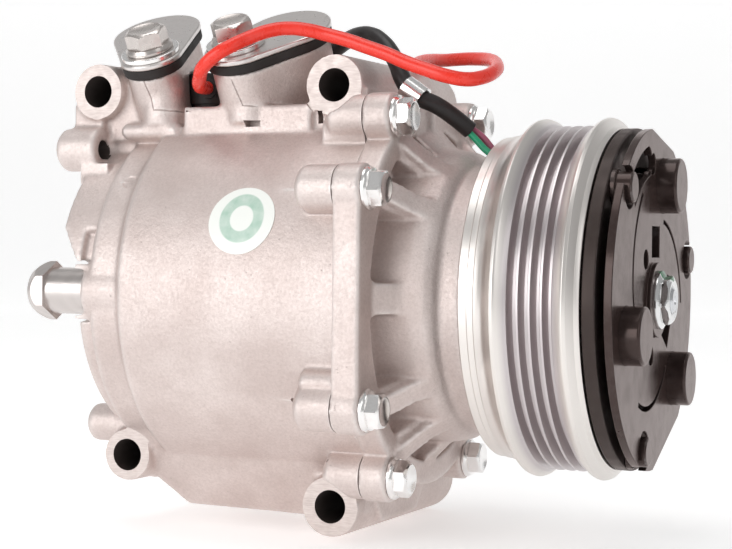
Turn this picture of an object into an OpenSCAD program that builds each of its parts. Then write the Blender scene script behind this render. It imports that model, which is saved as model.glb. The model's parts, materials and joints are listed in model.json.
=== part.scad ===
// Automotive air-conditioning compressor, scroll type, with an electromagnetic clutch.
// Millimetres. The drive shaft lies on the X axis and +X points out of the clutch.
// The origin is on the shaft axis, in the middle of the belt track. +Z is up and -Y is the
// side that the machined faces of the mounting ears look to.

/* [Drive pulley] */
// Radius of the two belt flanges
pulley_r = 56; // [55:0.5:57]
// Pitch of the belt grooves
rib_pitch = 3.56; // [3.4:0.01:3.6]
// Depth of a belt groove
groove_d = 3.1; // [2.6:0.1:3.4]
// Distance from the belt centre to each flange crest
crest_x = 10.2; // [10:0.1:10.4]
// Front friction face of the pulley
face_x = 14.4; // [14.2:0.1:14.5]

/* [Clutch] */
// Air gap between pulley and armature
air_gap = 0.5; // [0.4:0.05:0.6]
// Radius of the armature plate
armature_r = 52.5; // [51:0.5:53]
// Radius on which the damper cups sit
cup_pitch_r = 36.5; // [35.5:0.5:37]
// Outer radius of a damper cup
cup_r = 8.6; // [8.2:0.1:9]
// Angle of the first damper cup
cup_a = 75; // [70:1:80]
// Radius on which the stop pins sit
pin_pitch_r = 47; // [46:0.5:47]
// Outer end of the damper cups
cup_end_x = 29.6; // [29:0.1:31]

/* [Front housing] */
// Joint plane between the two housings
joint_x = -57; // [-57.5:0.5:-56.5]
// Front face of the flange
flange_x = -48.3; // [-49:0.1:-48]
// Radius of the flange plate between its lugs
flange_r = 61; // [60:0.5:62]
// Bolt circle radius
bolt_pitch_r = 65; // [64:0.5:66]
// Radius of a bolt lug
lug_r = 7.5; // [7:0.5:8]
// Radius of the neck
neck_r = 42.5; // [41:0.5:43]
// Front face of the neck
neck_x = -24.5; // [-24.8:0.1:-24.3]

/* [Rear housing] */
// Outer radius of the barrel
barrel_r = 60; // [59:0.5:61]
// Rear end of the full-width barrel
barrel_end_x = -131; // [-133:0.5:-129]
// Outer radius of the rear band
band_r = 56.5; // [56:0.5:57]
// Rear edge of the rear band
band_end_x = -144.5; // [-145:0.5:-144]
// Rear face of the round end plateau
plateau_x = -152.5; // [-153:0.5:-152]

/* [Mounting ears] */
// Machined near face of all four ears
ear_face_y = -31; // [-32:0.5:-30]
// Far face of all four ears
ear_far_y = 50; // [45:1:55]
// Radius of the mounting bores
ear_bore_r = 5.25; // [5:0.05:5.5]
// Outer radius of an ear at its near face
ear_r = 9.4; // [9:0.1:10]
// Added radius of an ear at its far face
ear_draft = 1.8; // [0:0.1:2.5]

/* [Scroll set] */
// Pitch of the spiral walls
wrap_pitch = 17.5; // [17:0.1:18]
// Thickness of the spiral walls
wrap_t = 4.2; // [4:0.1:4.4]
// Height of the spiral walls
wrap_h = 30; // [28:0.5:30]
// Clearance between the walls where they nearly touch
flank_gap = 0.15; // [0.1:0.05:0.3]

/* [Ports] */
// Tilt of the port faces toward the near side
port_tilt = 30; // [28:1:32]
// Thickness of a cap plate
cap_t = 1.8; // [1.5:0.1:2]
// Thickness of a rubber cap pad
pad_t = 3.4; // [3:0.1:4]

/* [Leads] */
// Radius of the red lead
red_r = 2.2; // [2:0.1:2.3]
// Radius of the black sleeve
sleeve_r = 2.8; // [2.5:0.1:2.9]
// Radius of each coil wire
wire_r = 1.1; // [1:0.1:1.2]

/* [Hidden] */

$fn = 96;
EPS = 0.01;
CAST = [0.82, 0.77, 0.75];
BRIGHT = [0.80, 0.80, 0.80];
ZINC = [0.74, 0.76, 0.78];
GLOSS = [0.13, 0.12, 0.12];
RUBBER = [0.10, 0.09, 0.09];

// Angles are measured about the X axis, from +Y toward +Z.
bolt_angles = [30, 62, 122, 150, 210, 238, 300, 330];
// Bolt angle whose boss stands further forward
tall_boss_a = 62;
tall_boss_x = -46.5;

// Start and end angles of the cast pockets in the front flange
pockets = [[149.5, 174.5], [185.5, 210.5], [127.5, 139], [221, 232.5], [68, 84], [110, 117],
           [244, 262], [272, 294], [306, 324], [36, 56], [336, 354], [4, 24]];
// Angles of the ribs between the lugs and the neck
rib_angles = [30, 62, 122, 144.5, 215.5, 238, 300, 330];

// Scroll geometry
base_r = wrap_pitch / 2 / PI;
orbit_r = wrap_pitch / 2 - wrap_t - flank_gap;
wrap_half = wrap_t / 2 / base_r;
wrap_start = 2.4;
wrap_end = 16.2;
wrap_steps = 96;

// Stations along the shaft
orbit_plate_front_x = -72.5;
orbit_plate_rear_x = -79;
axial_gap = 0.3;
fixed_face_x = orbit_plate_rear_x - wrap_h - axial_gap;
fixed_rear_x = -119;
shell_r = 54;
race_mid_x = (-64 - 66.5 - 70.1 - 72.5) / 4;
armature_x0 = face_x + air_gap;
armature_x1 = armature_x0 + 4;
hub_x0 = 21.3;
hub_x1 = 23.7;

// Ear axes as [x, z, outer radius]
ears = [[-157, 66, ear_r - 0.2], [-71, 65.7, ear_r + 0.2], [-144.7, -54, ear_r - 0.9],
        [-71, -66, ear_r + 0.2]];

// Port faces: centre of the bolt hole on top of the cap, port centre in the face's own plane
discharge_at = [-136.2, -32, 77.6];
suction_at = [-104.9, -32, 79.1];
discharge_ends = [[[0, 0], 10.4], [[-8, 19.5], 15]];
suction_ends = [[[2, -1], 12], [[12, 13.5], 14.6]];

relief_y = -48;
relief_z = 0.3;
relief_face_x = -146.6;
// Axis of the upper rear lug in (y, z)
lug_at = [-30, 46.8];
race_balls = 12;
race_pitch_r = 43;
coupling_ball_r = 2.95;

// Top of the clip boss, and the centre of the strap where it goes around the sleeve
clip_screw = [-51.8, -6, 61.4];
clip_ring = [-49.8, -16.5, 63.8];

// Routes of the leads
red_route = [
  [-120.4, -22.9, 67], [-119, -28, 66.6], [-117, -34, 66.5], [-113, -41, 68.5], [-109, -46, 71],
  [-104, -47, 74.5], [-100, -45.5, 77], [-96, -41, 80], [-91, -37, 82.5], [-86, -34, 83.5],
  [-80, -32, 83], [-74, -30.5, 81.5], [-67, -30.5, 79.5], [-60, -31, 77], [-53, -32, 74.5],
  [-46, -33, 71.5], [-39, -34, 69], [-33, -34, 67], [-27.5, -31.5, 66], [-24, -26, 67],
  [-23, -18, 69.5], [-25.5, -8, 72.5], [-31, 2, 75.5], [-38.5, 9, 77], [-46, 14, 77.7],
  [-53, 19, 78.2], [-60, 26, 79.3], [-66, 33, 80], [-72, 41, 80], [-77.5, 49, 78.2],
  [-82, 56, 73], [-85, 60, 66], [-86, 61, 58]];
sleeve_route = [
  [-112.6, -9.4, 71.2], [-109.8, -7, 72.8], [-106.4, -2.4, 74.2], [-101, 3, 75],
  [-94, 7, 78], [-87, 6, 82], [-80, 2, 84.5], [-74, -2, 85], [-69, -5, 84],
  [-64.5, -8, 81.5], [-60.5, -11, 78], [-57, -13.5, 73.5], [-54.5, -15.5, 69],
  [-51.5, -16.5, 65], [-47.5, -16.5, 62.2], [-43, -14.5, 60], [-38.5, -11, 56.5],
  [-34.3, -7.5, 52.5]];
green_route = [[-34.4, -8.6, 51.9], [-31.5, -8.6, 49], [-29, -8.4, 46.4], [-26.5, -8.2, 44.6],
  [-24, -8, 43.6]];
pink_route = [[-34.2, -6.3, 53], [-31, -5.6, 50.6], [-28.4, -5.2, 47.6], [-26.2, -5, 45],
  [-24, -4.8, 43.8]];

// A point at radius r and angle a
function polar(r, a) = [r * cos(a), r * sin(a)];
function unit(v) = v / norm(v);
function tangent(p, i) = unit(p[min(i + 1, len(p) - 1)] - p[max(i - 1, 0)]);
function carried_normals(p, i, n) = i == len(p) ? [] :
  let (t = tangent(p, i), m = unit(n - (n * t) * t)) concat([m], carried_normals(p, i + 1, m));
// A point on the involute wall, f in radians, off shifts it to the inner or outer flank
function involute(f, off) = let (d = f * 180 / PI)
  base_r * [cos(d) + (f - off) * sin(d), sin(d) - (f - off) * cos(d)];
// Outline of a spiral wall of the given half thickness angle
function wall_outline(f0, f1, half, steps) = concat(
  [for (i = [0 : steps]) involute(f0 + (f1 - f0) * i / steps, -half)],
  [for (i = [steps : -1 : 0]) involute(f0 + (f1 - f0) * i / steps, half)]);

// Children drawn in (y, z) and extruded along +X from x
module axial(x = 0) translate([x, 0, 0]) rotate([90, 0, 90]) children();
module disc(x0, x1, r) axial(x0) cylinder(h = x1 - x0, r = r);
module cone(x0, x1, r0, r1) axial(x0) cylinder(h = x1 - x0, r1 = r0, r2 = r1);
module ring(x0, x1, r_out, r_in) difference() {
  disc(x0, x1, r_out);
  disc(x0 - 1, x1 + 1, r_in);
}
// A cylinder along X at (y, z)
module post(x0, x1, at, r) translate([0, at[0], at[1]]) disc(x0, x1, r);
// A solid of revolution about X from (x, r) points
module turned(points) axial() rotate_extrude() polygon([for (p = points) [p[1], p[0]]]);
// Children drawn in (x, z) and extruded from y0 to y1
module across(y0, y1) translate([0, y1, 0]) rotate([90, 0, 0])
  linear_extrude(y1 - y0) children();
module block(x0, x1, y0, y1, z0, z1) translate([x0, y0, z0])
  cube([x1 - x0, y1 - y0, z1 - z0]);
// Flat outline around two circles and the tangents between them
module oval(a, ra, b, rb) {
  d = norm(b - a);
  dir = atan2(b[1] - a[1], b[0] - a[0]);
  w = acos((ra - rb) / d);
  translate(a) circle(ra);
  translate(b) circle(rb);
  // corners just inside the circles, so that no edge touches a circle at a point
  polygon([a + polar(ra - EPS, dir + w), a + polar(ra - EPS, dir - w),
           b + polar(rb - EPS, dir - w), b + polar(rb - EPS, dir + w)]);
}
// A bearing race with one groove per row of balls
module race(x0, x1, r_in, r_out, pitch_r, ball_r, rows) axial() rotate_extrude()
  difference() {
    translate([r_in, x0]) square([r_out - r_in, x1 - x0]);
    for (x = rows) translate([pitch_r, x]) circle(ball_r + 0.05);
  }
module balls(rows, pitch_r, r, n) for (x = rows, i = [0 : n - 1])
  translate([x, pitch_r * cos(360 / n * i), pitch_r * sin(360 / n * i)]) sphere(r, $fn = 24);
// A ring beside a row of balls with a finger between each two
module cage(x0, x1, tip_x, pitch_r, r, n) union() {
  ring(x0, x1, pitch_r + r, pitch_r - r);
  for (i = [0 : n - 1])
    post(min(tip_x, x0), max(tip_x, x0 + EPS), polar(pitch_r, 360 / n * (i + 0.5)), r * 0.9);
}
// An open spring ring that lies in a groove
module snap_ring(x0, x1, r_in, r_out, gap_a) difference() {
  ring(x0, x1, r_out, r_in);
  rotate([gap_a, 0, 0]) block(x0 - 1, x1 + 1, 0, r_out + 1, -2, 2);
}
// Hexagon flange bolt: head on the +X side of x, shank toward -X
module flange_bolt(x, at, r, across_flats, head_h, shank) translate([x, at[0], at[1]]) {
  disc(0, 1.4, across_flats * 0.63);
  axial(1.4) cylinder(h = head_h, r = across_flats / sqrt(3), $fn = 6);
  disc(-shank, EPS, r);
}
// A round tube swept along points
module swept(points, r, sides = 8) {
  normals = carried_normals(points, 0, [0.1, 0.2, 1]);
  count = len(points);
  rings = [for (i = [0 : count - 1], k = [0 : sides - 1])
    let (t = tangent(points, i), n = normals[i], a = 360 / sides * k)
    points[i] + r * (cos(a) * n + sin(a) * cross(t, n))];
  sidesf = [for (i = [0 : count - 2], k = [0 : sides - 1])
    let (a = i * sides + k, b = i * sides + (k + 1) % sides)
    [a, a + sides, b + sides, b]];
  polyhedron(points = rings, faces = concat([[for (k = [0 : sides - 1]) k]], sidesf,
    [[for (k = [sides - 1 : -1 : 0]) (count - 1) * sides + k]]), convexity = 6);
}
// Places children in a port face: local x along the shaft, y up the slope, z out of the face
module port_face(at, depth = 0) translate(at) rotate([port_tilt, 0, 0])
  translate([0, 0, -depth]) children();

// Flat outline of the flange in (y, z)
module flange_outline() {
  circle(flange_r);
  for (a = bolt_angles) translate(polar(bolt_pitch_r, a)) circle(lug_r);
  polygon([[-62.5, -33], [-62.5, 33], [-40, 33], [-40, -33]]);
}

module rear_housing() color(CAST) difference() {
  union() {
    // barrel, band, plateau
    turned([[joint_x, 0], [joint_x, barrel_r], [barrel_end_x, barrel_r],
            [barrel_end_x - 2.5, band_r], [band_end_x + 1.5, band_r],
            [band_end_x, band_r - 1.5], [band_end_x, 50.5], [plateau_x + 1.5, 50.5],
            [plateau_x, 49], [plateau_x, 0]]);
    // blind bolt bosses behind the flange lugs
    for (a = bolt_angles) translate([0, bolt_pitch_r * cos(a), bolt_pitch_r * sin(a)])
      turned([[-70, 0], [-70, lug_r - 2.4], [-68, lug_r - 0.4], [joint_x, lug_r - 0.4],
              [joint_x, 0]]);
    translate([0, -57.3, -25])
      turned([[-69.5, 0], [-69.5, 1.6], [-67.6, 3.5], [joint_x, 3.5], [joint_x, 0]]);
    // raised sector of the end cover with its sloped lower end
    intersection() {
      disc(-158.5, -140, 52.5);
      axial(-158.5) linear_extrude(20)
        polygon([[-60, 20], [-60, 60], [60, 60], [60, 12], [12, 20]]);
    }
    intersection() {
      disc(-158.5, -150, 52.5);
      translate([0, -60, 0]) rotate([-90, 0, 0]) linear_extrude(90)
        polygon([[-158.5, -20.5], [-150, -7], [-150, -30], [-158.5, -30]]);
    }
    // port block on top with its flat near wall, and the webs to the ears
    block(-159, -61, -26, 40, 38, 60);
    block(-124, -78.5, -32, -20, 38, 60);
    block(-156, -136, -27, 42, 50, 69);
    block(-79, -60, ear_face_y + 1, 42, 45, 65);
    // rounded bar below the discharge boss
    translate([0, -29.6, 52.6])
      turned([[-148.4, 0], [-148.4, 1], [-146.5, 2.8], [-127.3, 2.8], [-125.4, 1], [-125.4, 0]]);
    // bottom bulge and the webs to the lower ears
    intersection() {
      across(-40, 40) polygon([[-141, -40], [-141, -60], [-130.5, -71.5], [-60, -72.5],
                               [-60, -40]]);
      axial(-145) linear_extrude(90)
        polygon([[-34, -45], [-14, -72.5], [16, -72.5], [34, -45]]);
    }
    across(-16, 44) polygon([[-151, -60], [-144, -63.5], [-128, -61], [-128, -45],
                             [-151, -45]]);
    block(-79, -61, -26, 44, -68, -45);
    // ears
    for (e = ears) translate([e[0], ear_far_y, e[1]]) rotate([90, 0, 0])
      cylinder(h = ear_far_y - ear_face_y + 1, r1 = e[2] + ear_draft, r2 = e[2]);
    // port bosses and their upright near walls
    port_boss(discharge_at, discharge_ends);
    port_boss(suction_at, suction_ends);
    translate([-134, -26.3, 55]) rotate([4, 0, 0]) cylinder(h = 12, r = 7.2);
    translate([-102, -25.5, 55]) rotate([4, 0, 0]) cylinder(h = 12, r = 8.4);
    // upper rear lug, lower rear lug, relief valve boss
    translate([0, lug_at[0], lug_at[1]])
      turned([[-170.5, 0], [-170.5, 5.4], [-168.7, 7.2], [-155.8, 7.2], [-154.8, 6.2],
              [-154.8, 0]]);
    block(-167, -155.5, -30, -8, 42, 62);
    block(-160.6, -150, -36, -8, 34.6, 42);
    translate([0, -21, -44.8])
      turned([[-163.7, 0], [-163.7, 4.6], [-162, 6.3], [-140, 6.3], [-140, 0]]);
    translate([0, relief_y, relief_z])
      turned([[relief_face_x, 0], [relief_face_x, 9.2], [relief_face_x + 0.6, 9.7], [-133, 9.7],
              [-126, 6], [-126, 0]]);
    block(-150, -130, -55, -20, -8.5, 9);
  }
  // scroll space, discharge chamber and its floor
  disc(fixed_rear_x, joint_x + 1, shell_r);
  difference() {
    disc(-147, fixed_rear_x + 1, 46);
    for (a = [35 : 90 : 305]) post(-148, fixed_rear_x + 2, polar(38, a), 6.5);
  }
  // tapped holes for the flange bolts
  for (a = bolt_angles) post(joint_x - 10, joint_x + 1, polar(bolt_pitch_r, a), 3);
  // through holes for the fixed scroll bolts, from the rear
  for (a = [35 : 90 : 305]) {
    post(-160, fixed_rear_x + 1, polar(38, a), 3.2);
    post(-162, plateau_x + 2, polar(38, a), 8);
  }
  // ear bores, and the spot faces that cut back what stands in front of an ear
  for (e = ears) translate([e[0], ear_far_y + 1, e[1]]) rotate([90, 0, 0]) {
    cylinder(h = ear_far_y - ear_face_y + 9, r = ear_bore_r);
    translate([0, 0, ear_far_y - ear_face_y + 1]) cylinder(h = 30, r = e[2] + 0.25);
  }
  // ports and their bolt holes
  port_face(discharge_at, 60) translate([-8, 19.5, 0]) cylinder(h = 60, r = 7);
  port_face(suction_at, 52) translate([12, 13.5, 0]) cylinder(h = 52, r = 8.5);
  for (p = [discharge_at, suction_at]) port_face(p, 26) cylinder(h = 26, r = 3.4);
  // hole through the upper rear lug
  post(-176, -154.3, lug_at, 3.2);
  // relief valve seat, thread and the passage to the discharge chamber
  post(-162, relief_face_x, [relief_y, relief_z], 9.8);
  post(-150, -135, [relief_y, relief_z], 5);
  translate([-137, relief_y, relief_z]) rotate([-90, 0, 0]) cylinder(h = 12, r = 2);
  // seat of the thermal switch, and room for its boot beside the discharge boss
  translate([-123, -14, 58]) cylinder(h = 10, r = 7.2);
  translate([-123, -14, 61.5]) cylinder(h = 11.5, r = 8.3);
}
// Cast boss under one port face
module port_boss(at, ends) port_face(at, cap_t + pad_t + 30) linear_extrude(30)
  oval(ends[0][0], ends[0][1] - 1.4, ends[1][0], ends[1][1] - 1.6);

module front_housing() color(CAST) difference() {
  union() {
    axial(joint_x) linear_extrude(flange_x - joint_x) flange_outline();
    post(flange_x - 4, tall_boss_x, polar(bolt_pitch_r, tall_boss_a), lug_r - 0.3);
    // spigot, flared root, neck, and the nose that carries the pulley
    turned([[-64, 0], [-64, 53.7], [joint_x + 2, 53.7], [joint_x + 2, 57], [flange_x - 1.5, 57],
            [flange_x - 1.5, 52.9], [flange_x + 0.6, 52.9], [-42, 47.2], [-34.6, 45.9],
            [-32.4, 44.2], [-31.4, neck_r], [neck_x, neck_r], [neck_x, 17.5], [3, 17.5],
            [4, 16.5], [4, 0]]);
    // ribs from the lugs down to the neck
    for (a = rib_angles) rotate([a, 0, 0]) across_rib();
    // boss under the lead clip
    translate([clip_screw[0], clip_screw[1], 44]) cylinder(h = clip_screw[2] - 44, r = 4.9);
  }
  // crank cavity, main bearing seat, bearing bore, shaft bore, seal pocket
  disc(-65, -44, 36);
  disc(-45, -28, 31);
  disc(-29, -14, 14);
  disc(-15, -7, 8.4);
  disc(-8, 5, 14);
  // grooves for the seal ring, coil ring and bearing ring
  ring(2, 3.2, 15, 13);
  ring(-22, -20.5, 19, 16.6);
  ring(0.05, 1.55, 19, 16.6);
  // seal groove in the spigot
  ring(-62.6, -59.6, 55, 51.2);
  // bolt clearance holes
  for (a = bolt_angles) post(-60, -40, polar(bolt_pitch_r, a), 3.2);
  // cast pockets that leave a rib at each lug and a pad on the near side
  for (p = pockets) pocket(-53, 46.6, 53.2, p[0], p[1]);
  translate([clip_screw[0], clip_screw[1], clip_screw[2] - 9]) cylinder(h = 10, r = 1.6);
  // slot for the coil wires
  block(-30, -24, -11, -2, 38, 46);
}
// Rib drawn along +Y
module across_rib() translate([0, 0, -3.7]) linear_extrude(7.4)
  polygon([[flange_x - 3, 42], [flange_x - 3, 57.4], [flange_x + 1.2, 57.4],
           [flange_x + 3.6, 54.6], [-39.6, 49.2], [-35.5, 46.4], [-35.5, 42]]);
// Sector pocket between two radii and two angles, open to the front
module pocket(x, r0, r1, a0, a1) axial(x) linear_extrude(30) intersection() {
  difference() {
    circle(r1);
    circle(r0);
  }
  polygon([[0, 0], polar(90, a0), polar(110, (a0 + a1) / 2), polar(90, a1)]);
}

module housing_seal() color(RUBBER) axial(-61.1) rotate_extrude()
  translate([52.6, 0]) circle(1.3, $fn = 32);

module housing_bolts() color(ZINC) for (a = bolt_angles)
  flange_bolt(a == tall_boss_a ? tall_boss_x : flange_x, polar(bolt_pitch_r, a), 2.9, 10, 4.6,
    a == tall_boss_a ? 20 : 18);

module wall(x0, x1, turn, half) axial(x0) rotate(turn) linear_extrude(x1 - x0)
  polygon(wall_outline(wrap_start, wrap_end, half, wrap_steps));

module fixed_scroll() color(BRIGHT) difference() {
  union() {
    disc(fixed_rear_x, fixed_face_x, shell_r - 0.1);
    wall(fixed_face_x - EPS, fixed_face_x + wrap_h, 0, wrap_half);
  }
  disc(fixed_rear_x - 1, fixed_face_x + 1, 3.2);
  ring(fixed_rear_x + 3, fixed_rear_x + 6.2, shell_r + 1, 51.4);
  axial(fixed_face_x + wrap_h - 1.5) linear_extrude(2)
    polygon(wall_outline(wrap_start + 0.6, wrap_end - 0.6, 0.3, wrap_steps));
  for (a = [35 : 90 : 305]) post(fixed_rear_x - 1, fixed_rear_x + 7, polar(38, a), 2.9);
  post(fixed_rear_x - 1, fixed_rear_x + 6, [26, 0], 1.9);
}
module fixed_tip_seal() color([0.25, 0.22, 0.2]) axial(fixed_face_x + wrap_h - 1.5)
  linear_extrude(1.5) polygon(wall_outline(wrap_start + 0.65, wrap_end - 0.65, 0.27, wrap_steps));
module fixed_scroll_seal() color(RUBBER) axial(fixed_rear_x + 4.6) rotate_extrude()
  translate([52.7, 0]) circle(1.25, $fn = 32);
module fixed_scroll_bolts() color(ZINC) for (a = [35 : 90 : 305])
  translate([plateau_x + 2, 38 * cos(a), 38 * sin(a)]) mirror([1, 0, 0])
  flange_bolt(0, [0, 0], 2.8, 10, 4.6, 38);

// Reed valve on the back of the fixed scroll: the reed swings about its root edge
module discharge_reed() color([0.6, 0.62, 0.65]) difference() {
  axial(fixed_rear_x - 0.55) linear_extrude(0.45) {
    circle(5.5);
    translate([0, -3.5]) square([20, 7]);
  }
}
module reed_retainer() color([0.5, 0.5, 0.52]) difference() {
  union() {
    block(fixed_rear_x - 2.5, fixed_rear_x, 21, 32, -5, 5);
    translate([fixed_rear_x - 2.5, 22, 0]) rotate([0, 0, -10]) block(0, 1.6, -26, 1, -4, 4);
  }
  post(-125, -118, [26, 0], 2.1);
}
module reed_screw() color(ZINC) {
  post(fixed_rear_x - 2.5, fixed_rear_x + 5, [26, 0], 1.85);
  post(fixed_rear_x - 5, fixed_rear_x - 2.5, [26, 0], 3.6);
}

module relief_valve_body() color([0.72, 0.72, 0.72])
  translate([0, relief_y, relief_z]) difference() {
    union() {
      disc(-148, -136.5, 4.9);
      disc(-161.5, relief_face_x, 7.5);
      // hexagon with a domed nose
      intersection() {
        axial(-168.8) rotate(30) cylinder(h = 7.6, r = 9.5, $fn = 6);
        turned([[-168.8, 0], [-168.8, 5.6], [-167.6, 7.2], [-164.4, 9.2], [-163.4, 9.6],
                [-161.2, 9.6], [-161.2, 0]]);
      }
    }
    disc(-138, -136, 2);
    disc(-167, -138, 3.6);
    disc(-170, -166, 1.4);
    ring(relief_face_x - 1.85, relief_face_x + 1, 7.02, 5.18);
  }
module relief_valve_seal() color(RUBBER)
  translate([relief_face_x - 0.9, relief_y, relief_z]) rotate([90, 0, 90])
  rotate_extrude() translate([6.1, 0]) circle(0.88, $fn = 24);
module relief_valve_poppet() color([0.75, 0.62, 0.3]) translate([0, relief_y, relief_z]) {
  disc(-143, -138.3, 3.5);
  disc(-146, -142.9, 1.5);
}
module relief_valve_spring() color(ZINC) translate([0, relief_y, relief_z])
  swept([for (i = [0 : 84]) [-143.6 - 22.8 * i / 84, 2.6 * cos(i * 36), 2.6 * sin(i * 36)]],
    0.4, 6);

module cap(at, ends) port_face(at, cap_t) linear_extrude(cap_t) difference() {
  oval(ends[0][0], ends[0][1], ends[1][0], ends[1][1]);
  circle(4.3);
}
module pad(at, ends) port_face(at, cap_t + pad_t) linear_extrude(pad_t) difference() {
  oval(ends[0][0], ends[0][1] - 0.3, ends[1][0], ends[1][1] - 0.3);
  circle(4.3);
}
module discharge_cap() color(BRIGHT) cap(discharge_at, discharge_ends);
module discharge_cap_pad() color(RUBBER) pad(discharge_at, discharge_ends);
module suction_cap() color(BRIGHT) cap(suction_at, suction_ends);
module suction_cap_pad() color(RUBBER) pad(suction_at, suction_ends);
module cap_washers() color(BRIGHT) for (p = [discharge_at, suction_at]) port_face(p)
  difference() {
    cylinder(h = 1.6, r = 9.6);
    translate([0, 0, -1]) cylinder(h = 4, r = 4.2);
  }
module cap_bolts() color(ZINC) for (p = [discharge_at, suction_at]) port_face(p) {
  translate([0, 0, 1.6]) cylinder(h = 1.8, r = 7.8);
  translate([0, 0, 3.3]) cylinder(h = 5.6, r = 6.9, $fn = 6);
  translate([0, 0, -24]) cylinder(h = 26, r = 3.3);
}
module thermal_switch() color(RUBBER) difference() {
  union() {
    translate([-123, -14, 58.05]) cylinder(h = 12, r = 7.1);
    translate([-123, -14, 62]) cylinder(h = 10, r = 8);
    translate([-123, -14, 67]) rotate([90, 0, 16]) cylinder(h = 9, r = 3.4);
    translate([-121, -12.5, 71]) block(0, 8, 0, 6, -3.5, 4);
  }
  translate([-123, -14, 50]) cylinder(h = 12, r = 4);
}
module barrel_sticker() color([0.95, 0.96, 0.94]) intersection() {
  ring(-104, -76, barrel_r + 0.25, barrel_r);
  translate([-90.2, 0, 0]) rotate([-22.7, 0, 0]) rotate([90, 0, 0]) cylinder(h = 70, r = 11);
}

module main_bearing_outer_race() color(BRIGHT) race(-43.9, -28, 26.2, 31, 23, 5, [-36]);
module main_bearing_inner_race() color(BRIGHT) race(-44, -28, 15, 19.8, 23, 5, [-36]);
module main_bearing_balls() color([0.85, 0.85, 0.87]) {
  balls([-36], 23, 4.95, 11);
  cage(-30.8, -29.4, -36, 23, 1.2, 11);
}
module front_bearing_outer_race() color(BRIGHT) race(-21, -14, 12, 14, 10.75, 2, [-17.5]);
module front_bearing_inner_race() color(BRIGHT) race(-21, -14, 7.5, 9.5, 10.75, 2, [-17.5]);
module front_bearing_balls() color([0.85, 0.85, 0.87]) {
  balls([-17.5], 10.75, 1.95, 10);
  cage(-15.2, -14.4, -18, 10.75, 0.8, 10);
}
module shaft_seal() color(RUBBER) difference() {
  disc(-7.9, 1.9, 13.95);
  disc(-9, 3, 7.55);
  ring(-9, -3, 12.4, 8.8);
}
module seal_snap_ring() color(ZINC) snap_ring(2.05, 3.15, 10.5, 14.9, 60);

module race_plate(x0, x1, r_in, r_out, pocket_x0, pocket_x1) difference() {
  ring(x0, x1, r_out, r_in);
  for (i = [0 : race_balls - 1])
    post(pocket_x0, pocket_x1, polar(race_pitch_r, 360 / race_balls * i),
      coupling_ball_r + orbit_r / 2 + 0.15);
}
module fixed_race() color([0.6, 0.6, 0.62]) race_plate(-66.5, -64, 37, 49.5, -67, -65.3);
module orbiting_race() color([0.6, 0.6, 0.62]) translate([0, 0, orbit_r])
  race_plate(-72.5, -70.1, 37, 48, -71.3, -69);
module coupling_balls() color([0.85, 0.85, 0.87]) translate([0, 0, orbit_r / 2])
  balls([race_mid_x], race_pitch_r, coupling_ball_r, race_balls);

module clutch_coil() color([0.18, 0.17, 0.17]) difference() {
  union() {
    ring(neck_x, -22.2, 42.4, 17.55);
    ring(-22.3, 6.5, 46.4, 32.6);
  }
  // gap behind the front lip, with the winding left solid behind it
  ring(4.5, 7, 44.9, 34.1);
}
module coil_snap_ring() color(ZINC) snap_ring(-22, -20.6, 16.7, 20.4, 100);
module pulley_bearing_inner_race() color(BRIGHT)
  race(-20, 0, 17.5, 20.2, 21.75, 2.6, [-15, -5]);
module pulley_bearing_outer_race() color(BRIGHT)
  race(-20, 0, 23.3, 26, 21.75, 2.6, [-15, -5]);
module pulley_bearing_balls() color([0.85, 0.85, 0.87]) {
  balls([-15, -5], 21.75, 2.55, 16);
  cage(-12, -8, -15, 21.75, 0.9, 16);
  cage(-8.5, -8, -5, 21.75, 0.9, 16);
}
module bearing_snap_ring() color(ZINC) snap_ring(0.1, 1.5, 16.7, 19.8, 80);
module pulley_snap_ring() color(ZINC) snap_ring(-21.5, -20.1, 24, 26.9, 120);

// Rotor with a four-groove belt track, an inner hub for the bearing and a slotted face
module pulley() color(BRIGHT) difference() {
  turned(concat(
    [[-22.6, 48.6], [-22.6, 50.1], [-22.2, 50.5], [-19.8, 50.5], [-19.5, 50.9], [-17.7, 50.9],
     [-17.4, 51.3], [-15.2, 51.8], [-13.4, 53], [-12, 54.8], [-11.2, 55.7], [-crest_x, pulley_r],
     [-9.2, 55.6], [-8.2, 54.4]],
    [for (i = [0 : 3]) each
      let (g = (i - 1.5) * rib_pitch) [
        [g - rib_pitch / 2 + 0.35, pulley_r - 2.4], [g - 0.45, pulley_r - 2.4 - groove_d],
        [g + 0.45, pulley_r - 2.4 - groove_d], [g + rib_pitch / 2 - 0.35, pulley_r - 2.4]]],
    [[8.2, 54.4], [9.2, 55.6], [crest_x, pulley_r], [11.2, 55.7], [12.1, 54.6], [13, 53.4],
     [face_x - 0.4, 53], [face_x, 52.6], [face_x, 23], [9, 23], [3.2, 22.6], [0, 22.6],
     [0, 26], [-21.8, 26], [-21.8, 30.4], [8.2, 30.4], [8.2, 48.6]]));
  ring(-21.6, -20, 27, 25.5);
  // two rings of arc slots through the face, broken by bridges
  for (r = [36, 43]) difference() {
    ring(8, 15, r + 0.9, r - 0.9);
    for (a = [0 : 60 : 300]) rotate([a + (r > 40 ? 30 : 0), 0, 0]) block(7, 16, 20, 50, -3, 3);
  }
}

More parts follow.
